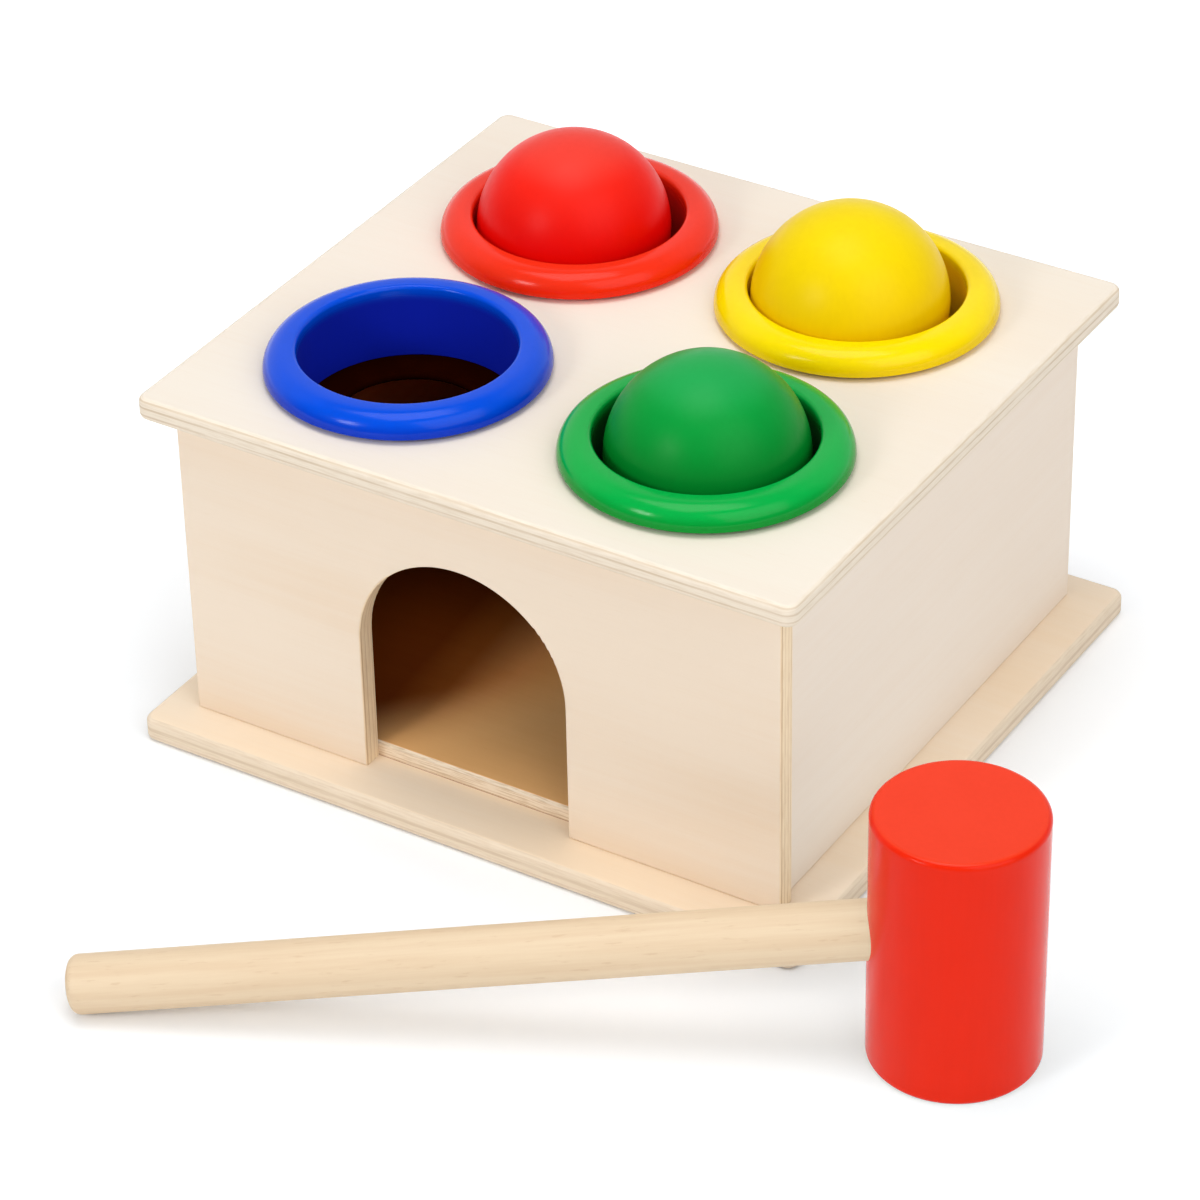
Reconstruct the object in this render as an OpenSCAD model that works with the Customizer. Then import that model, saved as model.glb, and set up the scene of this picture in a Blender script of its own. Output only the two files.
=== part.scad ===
// Wooden ball pounding toy: a plywood box with an arched doorway, four coloured rings, balls and a hammer.
// Millimetres. +X runs right along the front, +Y to the back, +Z up, from the middle of the base's underside.

/* [Box] */
// Width of the four-walled box across its front
box_w = 153.4; // [150:0.2:165]
// Depth of the box from front to back
box_d = 138.8; // [138.4:0.2:155]
// Height of the walls between the base and the top plate
wall_h = 79.2; // [76:0.2:90]
// Thickness of the wall panels
panel_t = 5.2; // [4:0.1:5.4]
// How far the side panels stand in from the ends of the front panel
side_setback = 2; // [0:0.5:3]
// How far the side panels run past the back panel that stands between them
side_tail = 1.4; // [0:0.1:3]
// Thickness of the top plate
top_t = 5.5; // [5:0.5:6.5]
// Thickness of the base plate
base_t = 6; // [5:0.5:9]
// Overhang of the top plate beyond the walls
top_overhang = 6.3; // [3:0.1:10]
// Overhang of the base plate at the sides, and at the front and back
base_overhang = [9, 10]; // [4:0.5:14]
// Corner radius of the top and base plates, seen from above
plate_corner = 3; // [1:0.5:6]
// Softened edges of the top and base plates
plate_arris = 1.3; // [0.3:0.1:1.8]
// Softened edges of the wall panels
panel_arris = 0.5; // [0.2:0.1:1]

/* [Doorway] */
// Width of the arched doorway
door_w = 53.4; // [48:0.2:60]
// Height of the doorway from the base to the top of its arch
door_h = 61.2; // [56:0.2:66]
// Middle of the doorway, to the right of the box's middle
door_shift = -3.6; // [-8:0.1:8]

/* [Ramp] */
// Slope of the inner floor, falling to the doorway
ramp_slope = 7.5; // [5:0.5:9]
// Thickness of the ramp board
ramp_t = 4; // [3:0.5:5]
// Depth of the flat cut under the ramp's front edge, where it lies on the base
ramp_foot = 0.4; // [0.2:0.1:0.8]
// Softened top edge at the ramp's front
ramp_arris = 0.7; // [0.3:0.1:1]
// Width of the wedge strip under the back of the ramp
cleat_w = 14; // [8:1:24]

/* [Rings] */
// Distance between the rings' centres, left to right
ring_pitch_x = 73.6; // [70:0.2:77]
// Distance between the rings' centres, front to back
ring_pitch_y = 69.4; // [66:0.2:69.6]
// How far the red ring lies off the even grid
red_drift = [1, -0.7]; // [-1.6:0.1:1.6]
// How far the yellow ring lies off the even grid
yellow_drift = [-0.9, 1.5]; // [-1.6:0.1:1.6]
// How far the green ring lies off the even grid
green_drift = [1.2, 0.8]; // [-1.6:0.1:1.6]
// How far the blue ring lies off the even grid
blue_drift = [-0.5, -0.7]; // [-1.6:0.1:1.6]
// Bore of a ring
ring_bore = 49; // [48:0.2:49.6]
// Outer diameter of a ring's bead
ring_od = 64.4; // [63:0.2:66]
// Height of the bead above the top plate
ring_rise = 6.5; // [6:0.1:7.5]
// Rounding from the bore up to the crest of the bead
bore_round = 1.1; // [0.6:0.1:1.6]
// Rounding from the crest down to the outside of the bead
bead_round = 5.2; // [4:0.1:5.4]
// How far the bead is cut back underneath, where it meets the top plate
bead_foot = 2; // [1:0.1:2.4]
// Wall of the sleeve that passes through the top plate
sleeve_wall = 2; // [1.6:0.1:2.4]

/* [Elastic lips] */
// Depth of the lip's upper face below the crest of the ring
lip_depth = 18; // [17:0.2:19]
// Thickness of the lip
lip_t = 2; // [1:0.5:3]
// Outer diameter of the collar that holds the lip on the sleeve
lip_od = 55; // [54.6:0.1:55.6]
// Opening of the lip in the empty ring
lip_bore = 33; // [30:0.5:37]

/* [Balls] */
// Diameter of a ball
ball_d = 45; // [44.5:0.5:46]
// Depth of the red, yellow and green ball's centre below the crest of its ring
ball_sink = [4.2, 3.9, 5.7]; // [3:0.1:7]
// How far the red ball leans off its ring's centre
red_lean = [-1.2, -0.5]; // [-1.4:0.1:1.4]
// How far the yellow ball leans off its ring's centre
yellow_lean = [-1.2, -0.9]; // [-1.4:0.1:1.4]
// How far the green ball leans off its ring's centre
green_lean = [0.1, 0.4]; // [-1.4:0.1:1.4]
// Where the spare blue ball lies on the table, from the middle of the base
blue_place = [-20, 104]; // [-60:1:140]

/* [Hammer] */
// Diameter of the hammer's head
head_d = 37.2; // [32:0.2:42]
// Length of the hammer's head
head_l = 61.8; // [58:0.2:70]
// Rounding of the head's end edges
head_round = 1.4; // [0.5:0.1:3]
// Diameter of the handle
handle_d = 13; // [12:0.2:16]
// Length from the head's axis to the free end of the handle
handle_reach = 188.5; // [150:0.5:200]
// Rounding of the handle's free end
handle_round = 2; // [0.5:0.1:4]
// Droop of the handle from square to the head, so that its end rests on the table
handle_rake = 8.3; // [6:0.1:9]
// How far the handle goes into the head past the head's axis
socket_past = 6; // [0:0.5:10]
// Where the head stands, from the middle of the base
head_place = [127, -84.3]; // [-200:0.1:200]
// Direction of the handle, seen from above
handle_heading = 206; // [190:0.1:220]

/* [Hidden] */
$fn = 96;

// Colours of the pieces
ply_tone = [0.95, 0.88, 0.79];
dowel_tone = [0.95, 0.85, 0.71];
red_tone = [0.90, 0.13, 0.10];
yellow_tone = [0.98, 0.85, 0.05];
green_tone = [0.06, 0.60, 0.24];
blue_tone = [0.06, 0.25, 0.82];
lip_tone = [0.16, 0.10, 0.07];
head_tone = [0.93, 0.20, 0.13];

// Places in the rings' order
red = 0;
yellow = 1;
green = 2;
blue = 3;
ring_side = [[-1, 1], [1, 1], [1, -1], [-1, -1]];
ring_drift = [red_drift, yellow_drift, green_drift, blue_drift];
ball_lean = [red_lean, yellow_lean, green_lean, [0, 0]];

// Clearance of a glued sleeve or dowel in its hole
glue_gap = 0.05;
// Room between a ball and the lip that carries it
seat_gap = 0.3;
// Extra length of a cutting shape past the face that it cuts
past = 1;

wall_top = base_t + wall_h;
plate_top = wall_top + top_t;
crest_z = plate_top + ring_rise;
lip_z = crest_z - lip_depth;
ball_r = ball_d / 2;
bore_r = ring_bore / 2;
sleeve_r = bore_r + sleeve_wall;
bead_r = ring_od / 2;
inner_d = box_d - 2 * panel_t;
side_x = box_w / 2 - side_setback;
side_l = inner_d + panel_t + side_tail;
side_y = (panel_t + side_tail) / 2;
inner_w = 2 * (side_x - panel_t);
ramp_rise = ramp_t / cos(ramp_slope);

handle_r = handle_d / 2;
handle_end_z = handle_round + (handle_r - handle_round) * cos(handle_rake) - handle_round * sin(handle_rake);
grip_z = handle_end_z + handle_reach * sin(handle_rake);

function ring_xy(i) = ring_drift[i] + [ring_side[i].x * ring_pitch_x, ring_side[i].y * ring_pitch_y] / 2;
function ball_xyz(i) = [each (ring_xy(i) + ball_lean[i]), crest_z - ball_sink[i]];

// Radius at which the round tip of a lip's edge is centred: against the ball, or set by the empty opening
function tip_r(i) =
    i == blue ? lip_bore / 2 + lip_t / 2
    : sqrt((ball_r + seat_gap + lip_t / 2) ^ 2 - (lip_depth + lip_t / 2 - ball_sink[i]) ^ 2);

// Rectangle with round corners, centred
module rounded_rect(w, h, r) {
    square([w - 2 * r, h], center = true);
    square([w, h - 2 * r], center = true);
    for (x = [-1, 1], y = [-1, 1])
        translate([x * (w / 2 - r), y * (h / 2 - r)])
            circle(r);
}

// Plywood board lying on the XY plane, with softened edges and round corners
module board(w, d, t, corner, arris) {
    intersection() {
        linear_extrude(t)
            rounded_rect(w, d, corner);
        translate([0, d / 2, t / 2])
            rotate([90, 0, 0])
                linear_extrude(d)
                    rounded_rect(w, t, arris);
        translate([-w / 2, 0, t / 2])
            rotate([90, 0, 90])
                linear_extrude(w)
                    rounded_rect(d, t, arris);
    }
}

// Wall panel standing on the base along X, with its outer face at the front
module wall(w) {
    translate([0, panel_t, base_t + wall_h / 2])
        rotate([90, 0, 0])
            board(w, wall_h, panel_t, panel_arris, panel_arris);
}

// Half of a rounded bar's section, from its axis outwards: square corner at the start if round_start is false
module turned_section(r, length, round, round_start) {
    start = round_start ? round : 0;
    square([r - round, length]);
    translate([0, start])
        square([r, length - round - start]);
    translate([r - round, length - round])
        circle(round);
    if (round_start)
        translate([r - round, round])
            circle(round);
}

// Side profile of a board that fills the box's width, drawn with Y to the right and Z up
module across_box() {
    translate([-inner_w / 2, 0, 0])
        rotate([90, 0, 90])
            linear_extrude(inner_w)
                children();
}

module base_plate() {
    color(ply_tone)
        board(box_w + 2 * base_overhang.x, box_d + 2 * base_overhang.y, base_t, plate_corner, plate_arris);
}

// Half of the doorway's section through the panel, from its middle to a jamb with softened edges
module jamb_section() {
    difference() {
        translate([0, -past])
            square([door_w / 2 + panel_arris, panel_t + 2 * past]);
        translate([door_w, panel_t / 2])
            rounded_rect(door_w, panel_t, panel_arris);
    }
}

// Two straight jambs under a round arch
module doorway() {
    spring_h = door_h - door_w / 2;
    translate([door_shift, -box_d / 2, base_t]) {
        for (side = [0, 1])
            mirror([side, 0, 0])
                translate([0, 0, -past])
                    linear_extrude(spring_h + past)
                        jamb_section();
        translate([0, 0, spring_h])
            rotate([-90, 0, 0])
                rotate_extrude()
                    jamb_section();
    }
}

module front_panel() {
    color(ply_tone)
        difference() {
            translate([0, -box_d / 2, 0])
                wall(box_w);
            doorway();
        }
}

module back_panel() {
    color(ply_tone)
        translate([0, box_d / 2 - panel_t, 0])
            wall(inner_w);
}

module left_panel() {
    color(ply_tone)
        translate([-side_x, side_y, 0])
            rotate([0, 0, -90])
                wall(side_l);
}

module right_panel() {
    color(ply_tone)
        translate([side_x, side_y, 0])
            rotate([0, 0, 90])
                wall(side_l);
}

module top_plate() {
    color(ply_tone)
        difference() {
            translate([0, 0, wall_top])
                board(box_w + 2 * top_overhang, box_d + 2 * top_overhang, top_t, plate_corner, plate_arris);
            for (i = [red:blue])
                translate([each ring_xy(i), wall_top - past])
                    cylinder(r = sleeve_r + glue_gap, h = top_t + 2 * past);
        }
}

module ramp() {
    climb = inner_d * tan(ramp_slope);
    front = -inner_d / 2;
    low = base_t - ramp_foot;
    high = low + ramp_rise;
    color(ply_tone)
        across_box()
            polygon([
                [front, base_t],
                [front, high - ramp_arris],
                [front + ramp_arris, high + ramp_arris * tan(ramp_slope)],
                [-front, high + climb],
                [-front, low + climb],
                [front + ramp_foot / tan(ramp_slope), base_t]
            ]);
}

module ramp_cleat() {
    back = inner_d / 2;
    underside = base_t - ramp_foot + inner_d * tan(ramp_slope);
    color(ply_tone)
        across_box()
            polygon([
                [back - cleat_w, base_t],
                [back - cleat_w, underside - cleat_w * tan(ramp_slope)],
                [back, underside],
                [back, base_t]
            ]);
}

// Section of a ring: sleeve, and a bead with a narrow crest, a broad outer round and a cut-back foot
module ring_section() {
    shoulder = ring_rise - bore_round;
    crest_in = bore_r + bore_round;
    crest_out = bead_r - bead_round;
    waist = ring_rise - bead_round;
    translate([bore_r, lip_z - plate_top])
        square([sleeve_wall, lip_depth - bore_round]);
    translate([bore_r, 0])
        square([bore_round, shoulder]);
    intersection() {
        translate([crest_in, shoulder])
            circle(bore_round);
        translate([bore_r, shoulder])
            square(bore_round);
    }
    translate([crest_in, 0])
        square([crest_out - crest_in, ring_rise]);
    polygon([
        [crest_out, 0],
        [bead_r - bead_foot, 0],
        [bead_r, waist],
        [crest_out, waist]
    ]);
    intersection() {
        translate([crest_out, waist])
            circle(bead_round);
        translate([crest_out, waist])
            square(bead_round);
    }
}

module ring(i) {
    translate([each ring_xy(i), plate_top])
        rotate_extrude()
            ring_section();
}

// Elastic lip: a collar round the sleeve's lower end, and a web whose round edge is centred on the ball
module lip(i) {
    height = wall_top - lip_z + lip_t;
    translate([each ring_xy(i), lip_z - lip_t])
        difference() {
            intersection() {
                cylinder(d = lip_od, h = height);
                translate([each ball_lean[i], 0])
                    rotate_extrude() {
                        translate([tip_r(i), 0])
                            square([lip_od, height]);
                        intersection() {
                            translate([tip_r(i), lip_t / 2])
                                circle(lip_t / 2);
                            translate([tip_r(i) - lip_t, 0])
                                square(lip_t);
                        }
                    }
            }
            translate([0, 0, lip_t])
                cylinder(r = sleeve_r + glue_gap, h = height);
        }
}

module ball(i) {
    translate(ball_xyz(i))
        sphere(d = ball_d);
}

// The hammer's own place: upright axis of the head, with X along the handle
module at_hammer() {
    translate([each head_place, 0])
        rotate([0, 0, handle_heading])
            children();
}

// Axis of the handle, from the head's axis towards the free end
module along_handle() {
    translate([0, 0, grip_z])
        rotate([0, 90 + handle_rake, 0])
            children();
}

module red_ring() {
    color(red_tone)
        ring(red);
}

module yellow_ring() {
    color(yellow_tone)
        ring(yellow);
}

module green_ring() {
    color(green_tone)
        ring(green);
}

module blue_ring() {
    color(blue_tone)
        ring(blue);
}

module red_lip() {
    color(lip_tone)
        lip(red);
}

module yellow_lip() {
    color(lip_tone)
        lip(yellow);
}

module green_lip() {
    color(lip_tone)
        lip(green);
}

module blue_lip() {
    color(lip_tone)
        lip(blue);
}

module red_ball() {
    color(red_tone)
        ball(red);
}

module yellow_ball() {
    color(yellow_tone)
        ball(yellow);
}

module green_ball() {
    color(green_tone)
        ball(green);
}

module blue_ball() {
    color(blue_tone)
        translate([each blue_place, ball_r])
            sphere(d = ball_d);
}

module hammer_head() {
    color(head_tone)
        at_hammer()
            difference() {
                rotate_extrude()
                    turned_section(head_d / 2, head_l, head_round, true);
                along_handle()
                    translate([0, 0, -socket_past - glue_gap])
                        cylinder(r = handle_r + glue_gap, h = head_d + socket_past);
            }
}

module hammer_handle() {
    color(dowel_tone)
        at_hammer()
            along_handle()
                translate([0, 0, -socket_past])
                    rotate_extrude()
                        turned_section(handle_r, handle_reach + socket_past, handle_round, false);
}

base_plate();
front_panel();
back_panel();
left_panel();
right_panel();
top_plate();
ramp();
ramp_cleat();
red_ring();
yellow_ring();
green_ring();
blue_ring();
red_lip();
yellow_lip();
green_lip();
blue_lip();
red_ball();
yellow_ball();
green_ball();
blue_ball();
hammer_head();
hammer_handle();
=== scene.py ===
import math

import bmesh
import bpy
from mathutils import Euler, Matrix, Vector


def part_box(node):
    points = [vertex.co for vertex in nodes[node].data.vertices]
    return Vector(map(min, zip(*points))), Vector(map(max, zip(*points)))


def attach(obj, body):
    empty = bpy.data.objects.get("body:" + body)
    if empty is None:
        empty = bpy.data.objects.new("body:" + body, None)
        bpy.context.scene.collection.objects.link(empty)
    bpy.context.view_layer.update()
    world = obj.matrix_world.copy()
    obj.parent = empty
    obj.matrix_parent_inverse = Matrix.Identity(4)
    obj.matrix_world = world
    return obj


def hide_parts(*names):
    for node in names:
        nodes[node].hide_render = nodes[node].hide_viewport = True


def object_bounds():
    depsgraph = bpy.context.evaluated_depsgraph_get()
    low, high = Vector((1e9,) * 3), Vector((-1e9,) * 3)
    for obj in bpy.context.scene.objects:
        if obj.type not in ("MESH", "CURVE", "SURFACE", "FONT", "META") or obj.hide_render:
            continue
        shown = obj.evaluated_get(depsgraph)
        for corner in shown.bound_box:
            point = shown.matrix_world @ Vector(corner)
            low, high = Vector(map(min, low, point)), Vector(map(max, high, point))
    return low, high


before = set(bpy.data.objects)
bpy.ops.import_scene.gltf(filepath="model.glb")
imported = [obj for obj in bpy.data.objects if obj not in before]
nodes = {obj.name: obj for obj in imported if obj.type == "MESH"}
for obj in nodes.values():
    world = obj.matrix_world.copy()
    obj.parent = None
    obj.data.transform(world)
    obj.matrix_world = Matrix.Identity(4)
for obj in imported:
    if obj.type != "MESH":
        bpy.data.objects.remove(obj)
cadLow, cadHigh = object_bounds()
scene = bpy.context.scene
scene.view_settings.view_transform = "Standard"
mm = 0.001
colours = ["red", "yellow", "green", "blue"]
print("frame loaded:", len(nodes), "nodes")


# Small helpers for node trees
def put(tree, kind, inputs=None, **settings):
    node = tree.nodes.new(kind)
    for name, value in settings.items():
        setattr(node, name, value)
    for name, value in (inputs or {}).items():
        if isinstance(value, bpy.types.NodeSocket):
            tree.links.new(value, node.inputs[name])
        else:
            node.inputs[name].default_value = value
    return node


def calc(tree, operation, *values):
    sockets = dict(enumerate(values))
    return put(tree, "ShaderNodeMath", sockets, operation=operation).outputs[0]


def vectorCalc(tree, operation, *values):
    sockets = dict(enumerate(values))
    return put(tree, "ShaderNodeVectorMath", sockets, operation=operation).outputs["Vector"]


def measure(tree, operation, *values):      # a number from vectors
    sockets = dict(enumerate(values))
    return put(tree, "ShaderNodeVectorMath", sockets, operation=operation).outputs["Value"]


def scaled(tree, vector, amount):
    sockets = {0: vector, "Scale": amount}
    return put(tree, "ShaderNodeVectorMath", sockets, operation="SCALE").outputs["Vector"]


def fade(tree, value, start, stop, low=0.0, high=1.0):
    steps = {0: value, 1: start, 2: stop, 3: low, 4: high}
    return put(tree, "ShaderNodeMapRange", steps, interpolation_type="SMOOTHSTEP").outputs[0]


def partWay(tree, value, start, stop):      # 0 to 1 at an even rate
    return put(tree, "ShaderNodeMapRange", {0: value, 1: start, 2: stop}).outputs[0]


def mixTone(tree, amount, first, second, how="MIX"):
    sockets = {0: amount, 6: first, 7: second}
    return put(tree, "ShaderNodeMix", sockets, data_type="RGBA", blend_type=how).outputs[2]


def noise(tree, vector, size, detail=2.0, roughness=0.5):
    sockets = {"Vector": vector, "Scale": 1 / size, "Detail": detail, "Roughness": roughness}
    return put(tree, "ShaderNodeTexNoise", sockets).outputs[0]


def combine(tree, x, y, z):
    return put(tree, "ShaderNodeCombineXYZ", {0: x, 1: y, 2: z}).outputs[0]


def separate(tree, vector):
    return put(tree, "ShaderNodeSeparateXYZ", {0: vector}).outputs


def tone(code):      # hex colour as seen on a screen, to Blender's linear colour
    parts = [int(code[i:i + 2], 16) / 255 for i in (0, 2, 4)]
    return tuple(p / 12.92 if p < 0.04045 else ((p + 0.055) / 1.055) ** 2.4 for p in parts) + (1.0,)


def toneSteps(tree, value, steps):      # colours at places along a value
    first, last = steps[0][0], steps[-1][0]
    ramp = put(tree, "ShaderNodeValToRGB", {0: partWay(tree, value, first, last)})
    stops = ramp.color_ramp.elements
    stops[0].color = tone(steps[0][1])
    stops[1].color = tone(steps[-1][1])
    for place, code in steps[1:-1]:
        stops.new((place - first) / (last - first)).color = tone(code)
    return ramp.outputs[0]


def objectCoords(tree):
    return put(tree, "ShaderNodeTexCoord").outputs["Object"]


def inMillimetres(tree, vector):
    return vectorCalc(tree, "MULTIPLY", vector, (1 / mm,) * 3)


def roughen(tree, height, strength, depth):
    sockets = {"Strength": strength, "Distance": depth, "Height": height}
    return put(tree, "ShaderNodeBump", sockets).outputs[0]


def newMaterial(name):
    material = bpy.data.materials.new(name)
    material.use_nodes = True
    material.node_tree.nodes.clear()
    return material, material.node_tree


def finishMaterial(tree, colour, roughness, gloss, normal):
    sockets = {"Base Color": colour, "Roughness": roughness, "Specular IOR Level": gloss, "Normal": normal}
    shader = put(tree, "ShaderNodeBsdfPrincipled", sockets)
    put(tree, "ShaderNodeOutputMaterial", {"Surface": shader.outputs[0]})


# Camera at the photograph's angle
cameraView = {
    "azimuth": 32.28,      # degrees to the right of the front
    "elevation": 34.16,
    "roll": 1.30,
    "aim": (-0.01312, 0.00321, 0.01432),
    "distance": 1.1042,
    "lens": 142.11,
    "sensor": 36.0,
    "clip": (0.05, 50.0),
}


def makeCamera(view):
    turn, rise, roll = (math.radians(view[k]) for k in ("azimuth", "elevation", "roll"))
    away = Vector((math.sin(turn) * math.cos(rise), -math.cos(turn) * math.cos(rise), math.sin(rise)))
    side = Vector((math.cos(turn), math.sin(turn), 0))
    up = away.cross(side)
    across = math.cos(roll) * side - math.sin(roll) * up
    axes = Matrix((across, away.cross(across), away)).transposed()
    data = bpy.data.cameras.new("photoCamera")
    data.sensor_width = view["sensor"]
    data.lens = view["lens"]
    data.clip_start, data.clip_end = view["clip"]
    camera = bpy.data.objects.new("photoCamera", data)
    camera.matrix_world = Matrix.Translation(Vector(view["aim"]) + away * view["distance"]) @ axes.to_4x4()
    scene.collection.objects.link(camera)
    scene.camera = camera


makeCamera(cameraView)

# Studio: white backdrop in a dim room, a large overhead box, a small front box and a wide fill
studio = {
    "skyStrength": 0.38,
    "skyTone": tone("fffdfa"),
    "room": 0.12,      # brightness of the room in reflections
    "backdrop": (-0.534, 0.845, 0.0),      # way to the white backdrop
    "backdropSide": (-0.10, 0.35),      # how far round it begins
    "backdropTop": (0.70, 0.92),      # rise at which it begins to end, and ends
    "floorTone": (0.90, 0.90, 0.90, 1),      # what the floor throws back at the toy
    "floorShadow": (0.935, 0.965, 1.0, 1),      # share of the floor's picture that carries shadow
    "floorWhite": (0.07, 0.32),      # glow there and further out
    "floorMiddle": (0.03, -0.08, 0.0),      # where the shadows fall
    "floorReach": (0.11, 0.24),      # metres from there over which the glow grows
    "floorFar": (0.30, 1.40, 0.0, 0.65),      # more glow beyond the lamps' reach
    "floorRadius": 6.0,
}
lamps = {
    "overhead": {"toward": (-0.04, -0.06, 1.0), "distance": 1.30, "size": 0.80, "power": 7.15},
    "frontLeft": {"toward": (-0.254, -0.849, 0.466), "distance": 1.50, "size": 0.32, "power": 5.3},
    "frontRight": {"toward": (0.723, -0.287, 0.628), "distance": 1.50, "size": 1.20, "power": 8.2},
}


def seenDirectly(tree):      # camera, mirror and glass rays
    path = put(tree, "ShaderNodeLightPath").outputs
    glossy = calc(tree, "MAXIMUM", path["Is Glossy Ray"], path["Is Transmission Ray"])
    return calc(tree, "MAXIMUM", path["Is Camera Ray"], glossy)


def mixSeen(tree, plain, seen):      # one shader for light, another for what the eye meets
    sockets = {0: seenDirectly(tree), 1: plain.outputs[0], 2: seen.outputs[0]}
    return put(tree, "ShaderNodeMixShader", sockets).outputs[0]


def makeWorld():
    world = bpy.data.worlds.new("studioWorld")
    scene.world = world
    world.use_nodes = True
    tree = world.node_tree
    tree.nodes.clear()
    sky = put(tree, "ShaderNodeBackground", {"Color": studio["skyTone"], "Strength": studio["skyStrength"]})
    way = put(tree, "ShaderNodeTexCoord").outputs["Generated"]
    behind = fade(tree, measure(tree, "DOT_PRODUCT", way, studio["backdrop"]), *studio["backdropSide"])
    under = fade(tree, separate(tree, way)[2], *studio["backdropTop"], 1.0, 0.0)
    lit = calc(tree, "MULTIPLY", behind, under)
    lit = calc(tree, "MULTIPLY_ADD", lit, 1.0 - studio["room"], studio["room"])
    lit = calc(tree, "MAXIMUM", lit, put(tree, "ShaderNodeLightPath").outputs["Is Camera Ray"])
    white = put(tree, "ShaderNodeBackground", {"Color": (1, 1, 1, 1), "Strength": lit})
    put(tree, "ShaderNodeOutputWorld", {"Surface": mixSeen(tree, sky, white)})


def makeFloor():
    material, tree = newMaterial("studioFloor")
    plain = put(tree, "ShaderNodeBsdfDiffuse", {"Color": studio["floorTone"]})
    shadow = put(tree, "ShaderNodeBsdfDiffuse", {"Color": studio["floorShadow"]})
    out = measure(tree, "DISTANCE", objectCoords(tree), studio["floorMiddle"])
    near = fade(tree, out, *studio["floorReach"], *studio["floorWhite"])
    far = fade(tree, out, *studio["floorFar"])
    glow = put(tree, "ShaderNodeEmission", {"Strength": calc(tree, "ADD", near, far)})
    shown = put(tree, "ShaderNodeAddShader", {0: shadow.outputs[0], 1: glow.outputs[0]})
    put(tree, "ShaderNodeOutputMaterial", {"Surface": mixSeen(tree, plain, shown)})

    reach = studio["floorRadius"]
    corners = [(-reach, -reach, 0), (reach, -reach, 0), (reach, reach, 0), (-reach, reach, 0)]
    mesh = bpy.data.meshes.new("studioFloor")
    mesh.from_pydata(corners, [], [(0, 1, 2, 3)])
    mesh.materials.append(material)
    floor = bpy.data.objects.new("studioFloor", mesh)
    scene.collection.objects.link(floor)


def makeLamps():
    middle = Vector((0, 0, cadHigh.z / 2))
    for name, lamp in lamps.items():
        data = bpy.data.lights.new(name, "AREA")
        data.shape = "SQUARE"
        data.size = lamp["size"]
        data.energy = lamp["power"]
        toward = Vector(lamp["toward"]).normalized()
        light = bpy.data.objects.new(name, data)
        light.location = middle + toward * lamp["distance"]
        light.rotation_euler = toward.to_track_quat("Z", "Y").to_euler()
        scene.collection.objects.link(light)


makeWorld()
makeFloor()
makeLamps()
print("camera and studio set")

# Birch plywood: face veneer with a faint figure, layered edges, and painted shade within the box
plyLook = {
    "fleck": tone("dfc29b"),
    # painted shade for the faces within the box, and next painted light where the doorway's light falls on the
    # ramp
    "insideShade": tone("9c4c1b"),
    "sillLight": tone("ffcb8b"),
    "roughness": (0.50, 0.64),
    "gloss": 0.25,
    "bump": (0.2, 0.06 * mm),      # strength and depth
    "seedStep": 31.7,      # mm along the grain from one board's figure to the next
}
# marks of the veneer: how much longer along the grain, and size in mm across it
plyMarks = {
    "cloud": {"stretch": 3.0, "size": 45.0, "detail": 2.0, "roughness": 0.5},
    "streak": {"stretch": 30.0, "size": 2.4, "detail": 5.0, "roughness": 0.62},
    "fibre": {"stretch": 30.0, "size": 0.5, "detail": 3.0, "roughness": 0.6},
    "fleck": {"stretch": 9.0, "size": 0.5, "detail": 2.0, "roughness": 0.5},
}
# where each mark begins and is full, and how strongly it shows
plyFigure = {
    "mixed": (0.8, 0.2),      # clouds and streaks in the broad figure
    "broad": (0.34, 0.68),
    "fleck": (0.70, 0.80),
    "fleckShare": 0.12,
    "fibre": (0.46, 0.76, 0.0, 0.04),
    "relief": 0.5,      # height of the face's marks against those of the edge
}
noiseSpread = (0.3, 0.7)      # where most of a noise's values lie
plyCut = {
    "stretch": 16.0,
    "wander": 0.08,      # share of the thickness
    "wanderSize": 2.0,
    "poreSize": 0.32,
    "pore": (0.42, 0.70),
    "poreShare": 0.35,
    "breakSize": 1.2,
    "breaks": (0.30, 0.62, 0.45, 1.0),      # glue lines weaken here and there
    "core": 0.2,      # share of a line's half width at full strength
    "rim": (0.006, 0.03),      # share of the thickness over which the face turns into the edge
}
birch = {"pale": "f4ebde", "warm": "f3e7d8", "edge": "f4e8d7", "line": "d8c4a9"}
baseBirch = {"pale": "fbebd6", "warm": "f8e3c7", "edge": "f1e0c9", "line": "d3bb9e"}
frontBirch = {"pale": "f6e6d3", "warm": "f2dcc3", "edge": "ffeaca", "line": "d6b48b"}
sideBirch = {"pale": "f7ecdf", "warm": "f5e7d8", "edge": "f4e4d4", "line": "cfb498"}
rampBirch = {"pale": "ffffff", "warm": "f3ece4", "edge": "fbead4", "line": "d6bb98"}
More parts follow.
